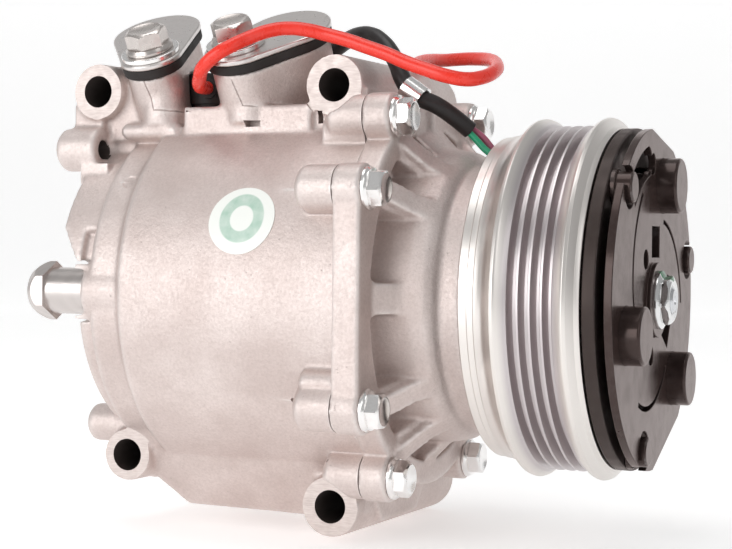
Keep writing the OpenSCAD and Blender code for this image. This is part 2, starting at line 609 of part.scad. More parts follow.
module drive_shaft() color([0.7, 0.7, 0.72]) difference() {
  union() {
    turned([[-50, 0], [-50, 24], [-44.3, 24], [-44.3, 18], [-44, 15], [-28.8, 15], [-28.4, 13],
            [-27, 12], [-23, 10], [-21.3, 8.4], [-21.2, 7.5], [8.5, 7.5], [8.5, 6], [23.2, 6],
            [23.4, 4], [29.2, 4], [29.9, 3.3], [29.9, 0]]);
    post(-68, -49, [0, orbit_r], 6);
  }
  // centre drilling in the nose
  cone(27.6, 30.6, 0.2, 1.8);
}
module drive_bushing() color([0.55, 0.55, 0.57]) translate([0, 0, orbit_r]) difference() {
  disc(-71.5, -50.2, 11.95);
  disc(-72, -49, 6.05);
}
module counterweight() color([0.5, 0.5, 0.52]) difference() {
  union() {
    intersection() {
      disc(-60, -51, 33);
      block(-61, -50, -33, 33, -34, -13);
    }
    block(-54, -51, -14, 14, -20, 10);
  }
  translate([0, 0, orbit_r]) disc(-61, -50, 12.0);
}
// Front plate of the clutch, with its splined sleeve
module clutch_hub() color(GLOSS) difference() {
  union() {
    difference() {
      disc(hub_x0, hub_x1, armature_r - 0.2);
      for (c = [[80, 50.2], [291, 48.8]]) rotate([c[0], 0, 0])
        block(hub_x0 - 1, hub_x1 + 1, c[1], 60, -40, 40);
    }
    disc(8.8, 25, 11.5);
  }
  disc(8, 26, 6.02);
  for (i = [0 : 2]) rotate([cup_a + 120 * i, 0, 0]) post(20, 25, [cup_pitch_r, 0], cup_r);
  for (i = [0 : 2]) rotate([cup_a - 60 + 120 * i, 0, 0]) post(20, 25, [pin_pitch_r, 0], 6.3);
  // kidney opening beside the first visible stop pin
  axial(20) linear_extrude(5) {
    intersection() {
      difference() {
        circle(47.5);
        circle(38.5);
      }
      polygon([[0, 0], polar(70, 134), polar(70, 104)]);
    }
    translate(polar(43, 104)) circle(4.5);
    translate(polar(41.5, 96)) circle(3.2);
  }
  // radial windows and round holes near the hub
  for (a = [90, 210, 330]) rotate([a, 0, 0]) block(20, 25, 13, 22.5, -5, 5);
  for (a = [15, 135, 255]) post(20, 25, polar(17.5, a), 3);
  // curved slits that make the plate springy
  for (a = [0, 120, 240]) axial(20) rotate(a) translate([6, -6]) linear_extrude(5)
    intersection() {
      difference() {
        circle(31.2);
        circle(29.8);
      }
      polygon([[0, 0], polar(60, 82), polar(60, 45), polar(60, 8)]);
    }
}
module damper_cups() color(GLOSS) for (i = [0 : 2]) rotate([cup_a + 120 * i, 0, 0])
  translate([0, cup_pitch_r, 0]) difference() {
    turned([[hub_x0, 0], [hub_x0, cup_r], [cup_end_x - 0.5, cup_r], [cup_end_x, cup_r - 0.5],
            [cup_end_x, 0]]);
    disc(hub_x0 - 1, cup_end_x - 1, cup_r - 1);
  }
module damper_rubbers() color(RUBBER) for (i = [0 : 2]) rotate([cup_a + 120 * i, 0, 0])
  translate([0, cup_pitch_r, 0]) ring(hub_x0 + 0.5, cup_end_x - 2.5, cup_r - 1.05, 3.75);
module hub_nut() color(ZINC) difference() {
  union() {
    cone(25, 26.6, 9, 8.4);
    axial(26.5) cylinder(h = 2.6, r = 7.9, $fn = 6);
    cone(29, 29.5, 7.3, 6.6);
  }
  disc(24, 30, 4.05);
}
module hub_shims() color(BRIGHT) ring(8.52, 8.78, 9, 6.2);

module armature_plate() color([0.22, 0.21, 0.21]) difference() {
  turned([[armature_x0, 28], [armature_x0, armature_r - 0.3], [armature_x0 + 0.3, armature_r],
          [armature_x1 - 0.3, armature_r], [armature_x1, armature_r - 0.3], [armature_x1, 28]]);
  for (a = [0 : 120 : 240]) difference() {
    ring(armature_x0 - 1, armature_x1 + 1, 40.4, 38.8);
    for (b = [45, 165, 285]) rotate([b, 0, 0]) block(10, 22, 20, 50, -22, 22);
  }
}
// Studs inside the damper cups and the stop pins in the front plate's openings
module armature_pins() color(GLOSS) for (i = [0 : 2]) {
  rotate([cup_a + 120 * i, 0, 0]) translate([0, cup_pitch_r, 0]) {
    disc(armature_x1, 27.5, 3.6);
    disc(armature_x1, armature_x1 + 1.6, 6);
  }
  rotate([cup_a - 60 + 120 * i, 0, 0]) translate([0, pin_pitch_r, 0]) {
    turned([[armature_x1, 0], [armature_x1, 5.4], [armature_x1 + 1.6, 5.4],
            [armature_x1 + 1.6, 4.5], [24.9, 4.5], [25.3, 4.1], [25.3, 0]]);
  }
}

module orbiting_scroll() color([0.75, 0.75, 0.74]) translate([0, 0, orbit_r]) difference() {
  union() {
    disc(orbit_plate_rear_x, orbit_plate_front_x, 48);
    disc(orbit_plate_front_x - EPS, -61, 19);
    wall(orbit_plate_rear_x - wrap_h, orbit_plate_rear_x + EPS, 180, wrap_half);
  }
  disc(orbit_plate_front_x, -60, 15.5);
  axial(orbit_plate_rear_x - wrap_h - 0.5) rotate(180) linear_extrude(2)
    polygon(wall_outline(wrap_start + 0.6, wrap_end - 0.6, 0.3, wrap_steps));
}
module orbiting_tip_seal() color([0.25, 0.22, 0.2]) translate([0, 0, orbit_r])
  axial(orbit_plate_rear_x - wrap_h) rotate(180) linear_extrude(1.5)
  polygon(wall_outline(wrap_start + 0.65, wrap_end - 0.65, 0.27, wrap_steps));
module drive_bearing() color(BRIGHT) translate([0, 0, orbit_r]) {
  ring(-72.3, -61.2, 15.45, 14.2);
  for (i = [0 : 17]) post(-71.5, -62, polar(13.1, 20 * i), 1.05);
}

module sleeved_lead() color([0.14, 0.12, 0.12]) swept(sleeve_route, sleeve_r);
module coil_wires() {
  color([0.2, 0.65, 0.5]) swept(green_route, wire_r);
  color([0.65, 0.38, 0.5]) swept(pink_route, wire_r);
}
// Strap around the sleeve, its foot on the boss and the screw that holds it
module lead_clip() color(BRIGHT) {
  translate(clip_screw + [0, 0, 0.03]) {
    translate([-3.4, -7.4, 0]) cube([6.8, 11, 0.9]);
    translate([0, 0, 0.8]) cylinder(h = 2.2, r = 3.3);
    translate([0, 0, -8]) cylinder(h = 9, r = 1.55);
  }
  translate(clip_ring) rotate([0, 35, 0]) difference() {
    disc(-2.4, 2.4, sleeve_r + 1.15);
    disc(-4, 4, sleeve_r + 0.5);
  }
}
module red_lead() color([0.95, 0.18, 0.12]) swept(red_route, red_r, 10);
// Plug body with a flat male blade
module red_lead_connector() color([0.15, 0.15, 0.16])
  translate([-86.3, 61.3, 57]) rotate([0, 186, 0]) {
    translate([-4.5, -4, 0]) cube([9, 8, 18]);
    translate([-3.15, -0.4, 17.9]) cube([6.3, 0.8, 8]);
  }

rear_housing();
front_housing();
housing_seal();
housing_bolts();
fixed_scroll();
fixed_tip_seal();
fixed_scroll_seal();
fixed_scroll_bolts();
reed_retainer();
reed_screw();
discharge_reed();
relief_valve_body();
relief_valve_seal();
relief_valve_spring();
relief_valve_poppet();
discharge_cap();
discharge_cap_pad();
suction_cap();
suction_cap_pad();
cap_bolts();
cap_washers();
thermal_switch();
barrel_sticker();
main_bearing_outer_race();
main_bearing_balls();
main_bearing_inner_race();
front_bearing_outer_race();
front_bearing_balls();
front_bearing_inner_race();
shaft_seal();
seal_snap_ring();
fixed_race();
clutch_coil();
coil_snap_ring();
pulley_bearing_inner_race();
bearing_snap_ring();
pulley();
pulley_bearing_outer_race();
pulley_snap_ring();
pulley_bearing_balls();
drive_shaft();
drive_bushing();
counterweight();
clutch_hub();
damper_cups();
damper_rubbers();
hub_nut();
hub_shims();
armature_plate();
armature_pins();
orbiting_scroll();
orbiting_tip_seal();
orbiting_race();
drive_bearing();
coupling_balls();
sleeved_lead();
coil_wires();
lead_clip();
red_lead();
red_lead_connector();
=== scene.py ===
"""Automotive air-conditioning compressor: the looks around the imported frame.

Metres throughout, in the frame of the CAD: the drive shaft lies on X, +X points out of the clutch,
+Z is up and -Y is the near side. Lengths written as numbers are in millimetres times MM.
"""

import json
import math

import bmesh
import bpy
from mathutils import Matrix, Vector

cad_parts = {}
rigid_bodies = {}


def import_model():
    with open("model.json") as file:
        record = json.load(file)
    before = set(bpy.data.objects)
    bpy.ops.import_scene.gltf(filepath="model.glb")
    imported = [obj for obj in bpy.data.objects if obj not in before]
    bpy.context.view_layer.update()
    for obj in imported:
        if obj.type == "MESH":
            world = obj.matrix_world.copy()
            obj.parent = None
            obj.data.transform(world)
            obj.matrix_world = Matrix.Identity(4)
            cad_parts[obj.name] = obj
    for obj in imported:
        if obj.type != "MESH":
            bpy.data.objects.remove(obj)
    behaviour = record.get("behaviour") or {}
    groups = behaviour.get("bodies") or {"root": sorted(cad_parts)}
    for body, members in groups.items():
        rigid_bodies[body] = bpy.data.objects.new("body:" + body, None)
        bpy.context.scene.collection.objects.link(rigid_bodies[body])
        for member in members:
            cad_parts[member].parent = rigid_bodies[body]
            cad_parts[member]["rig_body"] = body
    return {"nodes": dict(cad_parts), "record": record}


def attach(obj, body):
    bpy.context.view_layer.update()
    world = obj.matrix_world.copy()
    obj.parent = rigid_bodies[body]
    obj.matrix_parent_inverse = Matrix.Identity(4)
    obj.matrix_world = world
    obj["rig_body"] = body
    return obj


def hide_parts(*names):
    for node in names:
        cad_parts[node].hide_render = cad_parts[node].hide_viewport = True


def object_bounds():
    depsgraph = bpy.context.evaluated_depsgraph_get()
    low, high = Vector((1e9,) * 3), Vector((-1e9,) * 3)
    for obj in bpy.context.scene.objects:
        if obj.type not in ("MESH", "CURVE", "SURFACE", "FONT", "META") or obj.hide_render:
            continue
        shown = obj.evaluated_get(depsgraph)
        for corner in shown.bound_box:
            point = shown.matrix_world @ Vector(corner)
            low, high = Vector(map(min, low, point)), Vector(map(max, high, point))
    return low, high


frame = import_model()
CAD_LOW, CAD_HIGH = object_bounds()
NODES = frame["nodes"]
MM = 0.001


def mm(*xyz):
    """A point given in millimetres."""
    return Vector(xyz) * MM


# ---------------------------------------------------------------- camera

VIEW_AZIMUTH = math.radians(23.19)
VIEW_ELEVATION = math.radians(0.9)
VIEW_ROLL = math.radians(0.58)
VIEW_DISTANCE = 534.04 * MM
VIEW_TARGET = mm(-72.79, 0, 6.28)
VIEW_LENS = 79.61


def make_camera():
    """The main camera, from its azimuth, elevation, roll, distance and lens."""
    a, e, r = VIEW_AZIMUTH, VIEW_ELEVATION, VIEW_ROLL
    back = Vector((math.sin(a) * math.cos(e), -math.cos(a) * math.cos(e), math.sin(e)))
    level = Vector((math.cos(a), math.sin(a), 0))
    upright = back.cross(level)
    right = level * math.cos(r) + upright * math.sin(r)
    up = upright * math.cos(r) - level * math.sin(r)
    place = VIEW_TARGET + back * VIEW_DISTANCE
    data = bpy.data.cameras.new("camera")
    data.sensor_width = 36
    data.lens = VIEW_LENS
    data.clip_start = 0.01
    camera = bpy.data.objects.new("camera", data)
    bpy.context.scene.collection.objects.link(camera)
    camera.matrix_world = Matrix((
        (right.x, up.x, back.x, place.x),
        (right.y, up.y, back.y, place.y),
        (right.z, up.z, back.z, place.z),
        (0, 0, 0, 1)))
    bpy.context.scene.camera = camera


make_camera()

# ---------------------------------------------------------------- leads

RED_RADIUS = 2.2 * MM
SLEEVE_RADIUS = 2.8 * MM
WIRE_RADIUS = 1.1 * MM
RED_ROUTE = [
    (-120.4, -22.9, 67), (-119, -28, 66.6), (-117, -34, 66.5), (-113, -41, 68.5),
    (-109, -46, 71), (-104, -47, 74.5), (-100, -45.5, 77), (-96, -41, 80), (-91, -37, 82.5),
    (-86, -34, 83.5), (-80, -32, 83), (-74, -30.5, 81.5), (-67, -30.5, 79.5), (-60, -31, 77),
    (-53, -32, 74.5), (-46, -33, 71.5), (-39, -34, 69), (-33, -34, 67), (-27.5, -31.5, 66),
    (-24, -26, 67), (-23, -18, 69.5), (-25.5, -8, 72.5), (-31, 2, 75.5), (-38.5, 9, 77),
    (-46, 14, 77.7), (-53, 19, 78.2), (-60, 26, 79.3), (-66, 33, 80), (-72, 41, 80),
    (-77.5, 49, 78.2), (-82, 56, 73), (-85, 60, 66), (-86, 61, 58)]
SLEEVE_ROUTE = [
    (-112.6, -9.4, 71.2), (-109.8, -7, 72.8), (-106.4, -2.4, 74.2), (-101, 3, 75), (-94, 7, 78),
    (-87, 6, 82), (-80, 2, 84.5), (-74, -2, 85), (-69, -5, 84), (-64.5, -8, 81.5),
    (-60.5, -11, 78), (-57, -13.5, 73.5), (-54.5, -15.5, 69), (-51.5, -16.5, 65),
    (-47.5, -16.5, 62.2), (-43, -14.5, 60), (-38.5, -11, 56.5), (-34.3, -7.5, 52.5)]
GREEN_ROUTE = [
    (-34.4, -8.6, 51.9), (-31.5, -8.6, 49), (-29, -8.4, 46.4), (-26.5, -8.2, 44.6),
    (-24, -8, 43.6)]
PINK_ROUTE = [
    (-34.2, -6.3, 53), (-31, -5.6, 50.6), (-28.4, -5.2, 47.6), (-26.2, -5, 45), (-24, -4.8, 43.8)]


def make_lead(name, route, radius, slot, *nodes):
    """A round lead through the points of its route, as a bevelled curve."""
    data = bpy.data.curves.new(name, "CURVE")
    data.dimensions = "3D"
    data.bevel_depth = 1
    data.bevel_resolution = 6
    data.resolution_u = 8
    data.use_fill_caps = True
    spline = data.splines.new("BEZIER")
    spline.bezier_points.add(len(route) - 1)
    for point, place in zip(spline.bezier_points, route):
        point.co = mm(*place)
        point.radius = radius
        point.handle_left_type = point.handle_right_type = "AUTO"
    lead = bpy.data.objects.new(name, data)
    bpy.context.scene.collection.objects.link(lead)
    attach(lead, "housing")
    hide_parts(*nodes)
    return lead


red_lead = make_lead("red_lead_cable", RED_ROUTE, RED_RADIUS, "red_insulation", "red_lead")
sleeve = make_lead("sleeve_tube", SLEEVE_ROUTE, SLEEVE_RADIUS, "black_sleeve", "sleeved_lead")
green_wire = make_lead("green_wire", GREEN_ROUTE, WIRE_RADIUS, "green_insulation", "coil_wires")
pink_wire = make_lead("pink_wire", PINK_ROUTE, WIRE_RADIUS, "green_insulation", "coil_wires")

# ---------------------------------------------------------------- materials


class Paint:
    """One procedural material: a Principled shader and short calls that add nodes before it."""

    def __init__(self, name, color, metallic=0.0, roughness=0.5, **sockets):
        self.material = bpy.data.materials.new(name)
        self.material.use_nodes = True
        self.nodes = self.material.node_tree.nodes
        self.links = self.material.node_tree.links
        self.shader = self.nodes["Principled BSDF"]
        self.set("Base Color", (*color, 1))
        self.set("Metallic", metallic)
        self.set("Roughness", roughness)
        for key, value in sockets.items():
            self.set(key.replace("_", " "), value)
        self.place = self.nodes.new("ShaderNodeTexCoord").outputs["Object"]
        self.height = None

    def set(self, socket, value):
        self.shader.inputs[socket].default_value = value

    def noise(self, size, detail=3.0, rough=0.55, place=None):
        """Noise whose features are about size metres across."""
        n = self.nodes.new("ShaderNodeTexNoise")
        n.inputs["Scale"].default_value = 1 / size
        n.inputs["Detail"].default_value = detail
        n.inputs["Roughness"].default_value = rough
        self.links.new(place or self.place, n.inputs["Vector"])
        return n.outputs["Fac"]

    def ramp(self, value, low, high, out_low=0.0, out_high=1.0):
        """value from low..high to out_low..out_high, clamped."""
        n = self.nodes.new("ShaderNodeMapRange")
        for key, number in (("From Min", low), ("From Max", high),
                            ("To Min", out_low), ("To Max", out_high)):
            n.inputs[key].default_value = number
        self.links.new(value, n.inputs["Value"])
        return n.outputs["Result"]

    def math(self, kind, a, b):
        n = self.nodes.new("ShaderNodeMath")
        n.operation = kind
        for socket, value in zip(n.inputs, (a, b)):
            if isinstance(value, (int, float)):
                socket.default_value = value
            else:
                self.links.new(value, socket)
        return n.outputs["Value"]

    def mix(self, factor, a, b):
        """Colour a where factor is 0 and b where it is 1; each is a colour or a socket."""
        n = self.nodes.new("ShaderNodeMix")
        n.data_type = "RGBA"
        self.links.new(factor, n.inputs["Factor"])
        for key, value in (("A", a), ("B", b)):
            socket = [s for s in n.inputs if s.name == key and s.type == "RGBA"][0]
            if isinstance(value, tuple):
                socket.default_value = (*value, 1)
            else:
                self.links.new(value, socket)
        return [s for s in n.outputs if s.type == "RGBA"][0]

    def near(self, point, low, high):
        """1 within low metres of a point, fading to 0 at high metres."""
        n = self.nodes.new("ShaderNodeVectorMath")
        n.operation = "DISTANCE"
        n.inputs[1].default_value = point
        self.links.new(self.place, n.inputs[0])
        return self.ramp(n.outputs["Value"], low, high, 1, 0)

    def along(self, axis):
        """The X, Y or Z of the place."""
        n = self.nodes.new("ShaderNodeSeparateXYZ")
        self.links.new(self.place, n.inputs["Vector"])
        return n.outputs[axis]

    def edges(self, low=0.5, high=0.56):
        """0 on flat and hollow places, 1 on outer edges."""
        return self.ramp(self.nodes.new("ShaderNodeNewGeometry").outputs["Pointiness"], low, high)

    def hollows(self, low=0.44, high=0.5):
        """1 in hollow corners, 0 on flat places and outer edges."""
        return self.ramp(self.nodes.new("ShaderNodeNewGeometry").outputs["Pointiness"],
                         low, high, 1, 0)

    def color(self, socket):
        self.links.new(socket, self.shader.inputs["Base Color"])

    def rough(self, socket):
        self.links.new(socket, self.shader.inputs["Roughness"])

    def bump(self, height, depth, strength=1.0):
        """Adds a relief of depth metres on top of what is there."""
        n = self.nodes.new("ShaderNodeBump")
        n.inputs["Distance"].default_value = depth
        n.inputs["Strength"].default_value = strength
        self.links.new(height, n.inputs["Height"])
        if self.height is not None:
            self.links.new(self.height, n.inputs["Normal"])
        self.height = n.outputs["Normal"]
        self.links.new(self.height, self.shader.inputs["Normal"])

    def radius(self, centre, axis):
        """Distance from a line through centre along the axis X, Y or Z."""
        move = self.nodes.new("ShaderNodeVectorMath")
        move.operation = "SUBTRACT"
        move.inputs[1].default_value = centre
        self.links.new(self.place, move.inputs[0])
        flat = self.nodes.new("ShaderNodeVectorMath")
        flat.operation = "MULTIPLY"
        flat.inputs[1].default_value = [0.0 if k == axis else 1.0 for k in "XYZ"]
        self.links.new(move.outputs["Vector"], flat.inputs[0])
        size = self.nodes.new("ShaderNodeVectorMath")
        size.operation = "LENGTH"
        self.links.new(flat.outputs["Vector"], size.inputs[0])
        return size.outputs["Value"]


def cast_aluminium():
    """Die-cast and blasted: a fine grain, small pits, soft patches, outer edges made lighter
    (partly wear, partly painted highlight) and hollows darkened with painted shade.
    """
    p = Paint("cast_aluminium", (0.62, 0.56, 0.53), metallic=0.82, roughness=0.5)
    patches = p.ramp(p.noise(22 * MM, 4), 0.35, 0.65)
    grain = p.ramp(p.noise(0.9 * MM, 5, 0.7), 0.3, 0.7)
    base = p.mix(patches, (0.64, 0.545, 0.515), (0.77, 0.68, 0.65))
    base = p.mix(p.math("MULTIPLY", grain, 0.4), base, (0.49, 0.41, 0.385))
    pits = p.ramp(p.noise(1.5 * MM, 2, 0.6), 0.7, 0.78)
    base = p.mix(p.math("MULTIPLY", pits, 0.35), base, (0.3, 0.25, 0.23))
    # Painted shade: hollow corners are darkened towards a deep brown-grey.
    base = p.mix(p.math("MULTIPLY", p.hollows(0.42, 0.49), 0.4), base, (0.2, 0.16, 0.15))
    # Outer edges are lightened: partly wear, partly painted highlight.
    p.color(p.mix(p.math("MULTIPLY", p.edges(), 0.6), base, (0.86, 0.82, 0.80)))
    p.rough(p.ramp(grain, 0, 1, 0.42, 0.6))
    p.bump(p.noise(4.5 * MM, 3, 0.5), 0.12 * MM)
    p.bump(grain, 0.06 * MM)
    p.bump(pits, -0.08 * MM)
    return p.material


def machined_aluminium():
    """Fly-cut faces: bright and satin, with faint streaks left by the cutter."""
    p = Paint("machined_aluminium", (0.62, 0.55, 0.53), metallic=0.8, roughness=0.5)
    streak = p.nodes.new("ShaderNodeMapping")
    streak.inputs["Scale"].default_value = (1, 1, 12)
    p.links.new(p.place, streak.inputs["Vector"])
    lines = p.noise(3 * MM, 3, 0.6, streak.outputs["Vector"])
    p.color(p.mix(p.ramp(lines, 0.35, 0.65), (0.55, 0.475, 0.45), (0.66, 0.59, 0.56)))
    p.rough(p.ramp(p.noise(2 * MM, 3), 0.3, 0.7, 0.45, 0.6))
    p.bump(lines, 0.02 * MM)
    return p.material


def bore_metal():
    """The wall of a long bore, painted near black: painted shade, as little light reaches inside.
    """
    p = Paint("bore_metal", (0.07, 0.055, 0.05), metallic=0.3, roughness=0.6)
    p.bump(p.noise(0.8 * MM, 3), 0.02 * MM)
    return p.material


def plated_steel(name, color, roughness=0.24, mark=None):
    """Zinc or nickel plate: bright and faintly cloudy; mark is the place of a green paint dab."""
    p = Paint(name, color, metallic=1.0, roughness=roughness)
    cloud = p.ramp(p.noise(2.5 * MM, 4, 0.6), 0.3, 0.7)
    base = p.mix(cloud, tuple(0.9 * c for c in color), color)
    p.rough(p.ramp(cloud, 0, 1, roughness * 1.2, roughness * 0.85))
    if mark:
        ragged = p.math("ADD", p.near(mark, 1.6 * MM, 4.2 * MM),
                        p.ramp(p.noise(1.2 * MM, 3), 0, 1, -0.3, 0.3))
        dab = p.ramp(ragged, 0.45, 0.55)
        base = p.mix(dab, base, (0.0, 0.16, 0.05))
        p.links.new(p.ramp(dab, 0, 1, 1, 0), p.shader.inputs["Metallic"])
    p.color(base)
    p.bump(p.noise(0.8 * MM, 4, 0.6), 0.012 * MM)
    return p.material


def turned_steel(name, color, pitch, roughness=0.2, depth=0.012, shaded=None):
    """Turned about the shaft: fine grooves around the axis and bands of slightly other tone.

    shaded is (low X, high X, colour) of a stretch painted in a darker tone as painted shade, such
    as the belt grooves.
    """
    p = Paint(name, color, metallic=1.0, roughness=roughness)
    reach = p.math("ADD", p.radius((0, 0, 0), "X"), p.along("X"))
    join = p.nodes.new("ShaderNodeCombineXYZ")
    p.links.new(reach, join.inputs["X"])
    groove = p.noise(pitch, 2, 0.6, join.outputs["Vector"])
    band = p.ramp(p.noise(3.2 * MM, 2, 0.5, join.outputs["Vector"]), 0.35, 0.65)
    base = p.mix(band, tuple(0.93 * c for c in color), color)
    # Painted shade: blends the stretch from low to high X towards the darker tone.
    if shaded:
        low, high, tone = shaded
        inside = p.math("MULTIPLY", p.ramp(p.along("X"), low, low + 1.5 * MM),
                        p.ramp(p.along("X"), high - 1.5 * MM, high, 1, 0))
        base = p.mix(inside, base, tone)
    p.color(base)
    p.rough(p.ramp(band, 0, 1, roughness * 1.5, roughness))
    p.bump(groove, depth * MM)
    return p.material


def plain_steel(name, color, roughness=0.3):
    p = Paint(name, color, metallic=1.0, roughness=roughness)
    p.rough(p.ramp(p.noise(1.5 * MM, 4, 0.6), 0.3, 0.7, roughness * 0.7, roughness * 1.3))
    p.bump(p.noise(0.3 * MM, 3, 0.6), 0.008 * MM)
    return p.material


def gloss_paint(name, color, roughness, coat):
    """Stoved black paint with a slight orange peel, thinner and browner on the edges."""
    p = Paint(name, color, metallic=0.3, roughness=roughness, Coat_Weight=coat,
              Coat_Roughness=0.08, Specular_Tint=(1, 0.78, 0.73, 1))
    worn = p.math("MULTIPLY", p.edges(0.52, 0.6), p.ramp(p.noise(3 * MM, 4, 0.7), 0.45, 0.6))
    p.color(p.mix(worn, color, tuple(c + 0.08 for c in color)))
    p.rough(p.ramp(p.noise(6 * MM, 3), 0.3, 0.7, roughness * 0.8, roughness * 1.35))
    p.bump(p.noise(1.4 * MM, 2, 0.4), 0.012 * MM)
    return p.material


def soft_plastic(name, color, roughness, grain=0.4, depth=0.02, dusty=0.04):
    """Rubber, plastic or lead covering with a fine skin and a little dust."""
    p = Paint(name, color, roughness=roughness)
    dust = p.ramp(p.noise(5 * MM, 4, 0.65), 0.45, 0.75)
    p.color(p.mix(dust, color, tuple(min(1, c + dusty) for c in color)))
    p.rough(p.ramp(dust, 0, 1, roughness, min(1, roughness * 1.35)))
    p.bump(p.noise(grain * MM, 3, 0.6), depth * MM)
    return p.material


STICKER_X, STICKER_Z = -90.2, 23.6


def sticker_paper():
    """White coated label with a plain pale green ring."""
    p = Paint("sticker_paper", (0.9, 0.91, 0.88), roughness=0.4, Coat_Weight=0.3)
    reach = p.radius(mm(STICKER_X, 0, STICKER_Z), "Y")
    ring = p.math("MULTIPLY", p.ramp(reach, 3.7 * MM, 4.1 * MM),
                  p.ramp(reach, 7.2 * MM, 7.6 * MM, 1, 0))
    wash = p.ramp(p.noise(4 * MM, 3), 0.3, 0.7, 0.55, 1.0)
    p.color(p.mix(p.math("MULTIPLY", ring, wash), (0.88, 0.90, 0.86), (0.40, 0.58, 0.48)))
    p.bump(p.noise(1 * MM, 2), 0.01 * MM)
    return p.material


PAINTS = {
    "cast_aluminium": cast_aluminium(),
    "machined_aluminium": machined_aluminium(),
    "anodised_scroll": plain_steel("anodised_scroll", (0.5, 0.49, 0.46), 0.4),
    "bore_metal": bore_metal(),
    "zinc_steel": plated_steel("zinc_steel", (0.93, 0.915, 0.905), 0.22),
    "nut_steel": plated_steel("nut_steel", (0.80, 0.80, 0.80), 0.16, (27.5 * MM, -1 * MM, 8 * MM)),
    "cap_steel": plated_steel("cap_steel", (0.74, 0.70, 0.68), 0.3),
    "cap_bolt_steel": plated_steel("cap_bolt_steel", (0.66, 0.61, 0.58), 0.28),
    "bearing_steel": plain_steel("bearing_steel", (0.62, 0.63, 0.65), 0.2),
    "dark_steel": plain_steel("dark_steel", (0.2, 0.2, 0.2), 0.45),
    "spring_steel": plain_steel("spring_steel", (0.5, 0.51, 0.53), 0.25),
    # Painted shade: the belt grooves from X -9 to 8.6 mm are painted darker.
    "pulley_steel": turned_steel("pulley_steel", (0.84, 0.80, 0.765), 0.35 * MM, 0.27,
                                 shaded=(-9 * MM, 8.6 * MM, (0.60, 0.555, 0.56))),
    "nickel_valve": turned_steel("nickel_valve", (0.62, 0.575, 0.555), 0.3 * MM, 0.26),
    "brass_poppet": plain_steel("brass_poppet", (0.72, 0.55, 0.25), 0.25),
    "gloss_black": gloss_paint("gloss_black", (0.036, 0.024, 0.022), 0.2, 0.05),
    "coil_black": gloss_paint("coil_black", (0.03, 0.023, 0.021), 0.42, 0.03),
    "black_rubber": soft_plastic("black_rubber", (0.012, 0.008, 0.007), 0.62, dusty=0.02),
    "black_sleeve": soft_plastic("black_sleeve", (0.012, 0.008, 0.008), 0.4, dusty=0.015),
    "red_insulation": soft_plastic("red_insulation", (0.86, 0.035, 0.018), 0.26, 1.2, 0.015, 0.02),
    "green_insulation": soft_plastic("green_insulation", (0.02, 0.38, 0.19), 0.3),
    "pink_insulation": soft_plastic("pink_insulation", (0.42, 0.11, 0.18), 0.3),
    "black_plastic": soft_plastic("black_plastic", (0.02, 0.02, 0.022), 0.45),
    "tip_seal_plastic": soft_plastic("tip_seal_plastic", (0.08, 0.06, 0.05), 0.5),
    "sticker_paper": sticker_paper(),
}


def paint(piece, *names):
    """Puts the named materials in the slots of a piece's own data."""
    piece.data.materials.clear()
    for name in names:
        piece.data.materials.append(PAINTS[name])


for row in frame["record"]["subparts"]:
    paint(NODES[row["node"]], row["material_slot"])
paint(red_lead, "red_insulation")
paint(sleeve, "black_sleeve")
paint(green_wire, "green_insulation")
paint(pink_wire, "pink_insulation")

# ---------------------------------------------------------------- mesh helpers


def add_piece(name, shape, body, slot, replaced=(), smooth_angle=35):
    """Turns a bmesh into an object that rides on a body and stands for CAD nodes."""
    data = bpy.data.meshes.new(name)
    bmesh.ops.recalc_face_normals(shape, faces=shape.faces)
    shape.to_mesh(data)
    shape.free()
    piece = bpy.data.objects.new(name, data)
    bpy.context.scene.collection.objects.link(piece)
    data.shade_smooth()
    data.set_sharp_from_angle(angle=math.radians(smooth_angle))
    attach(piece, body)
    paint(piece, slot)
    if replaced:
        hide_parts(*replaced)
    return piece


def node_shape(node):
    """A CAD node's mesh as a bmesh with its split corners joined."""
    shape = bmesh.new()
    shape.from_mesh(NODES[node].data)
    bmesh.ops.remove_doubles(shape, verts=shape.verts, dist=1e-6)
    return shape


def skin_rings(shape, rings, steps):
    """Joins each ring of corners to the next; a ring of one corner closes an end."""
    for a, b in zip(rings, rings[1:]):
        for k in range(steps):
            corners = [a[k % len(a)], a[(k + 1) % len(a)], b[(k + 1) % len(b)], b[k % len(b)]]
            unique = list(dict.fromkeys(corners))
            if len(unique) > 2:
                shape.faces.new(unique)


def add_lathe(shape, profile, steps=64, axis="X", centre=(0, 0, 0)):
    """Adds a closed surface of revolution from (along, radius) points in millimetres."""
    rings = []
    for along, r in profile:
        ring = []
        for k in range(1 if r == 0 else steps):
            a = 2 * math.pi * k / steps
            c, s = r * math.cos(a), r * math.sin(a)
            point = {"X": (along, c, s), "Y": (s, along, c), "Z": (c, s, along)}[axis]
            ring.append(shape.verts.new((Vector(centre) + Vector(point)) * MM))
        rings.append(ring)
    skin_rings(shape, rings, steps)


def add_drum(shape, axis, centre, start, end, radius, steps):
    """Adds a closed cylinder along an axis through centre."""
    add_lathe(shape, [(start, 0), (start, radius), (end, radius), (end, 0)], steps, axis, centre)


def modify(piece, kind, **settings):
    """Applies one modifier to a piece."""
    modifier = piece.modifiers.new(kind, kind)
    for key, value in settings.items():
        setattr(modifier, key, value)
    with bpy.context.temp_override(object=piece, active_object=piece,
                                   selected_objects=[piece]):
        bpy.ops.object.modifier_apply(modifier=modifier.name)


def cut(piece, draw):
    """Cuts away what draw adds to an empty shape; its parts don't touch each other."""
    shape = bmesh.new()
    draw(shape)
    bmesh.ops.recalc_face_normals(shape, faces=shape.faces)
    data = bpy.data.meshes.new("cutter")
    shape.to_mesh(data)
    shape.free()
    helper = bpy.data.objects.new("cutter", data)
    bpy.context.scene.collection.objects.link(helper)
    modify(piece, "BOOLEAN", operation="DIFFERENCE", solver="MANIFOLD", object=helper)
    bpy.data.objects.remove(helper)


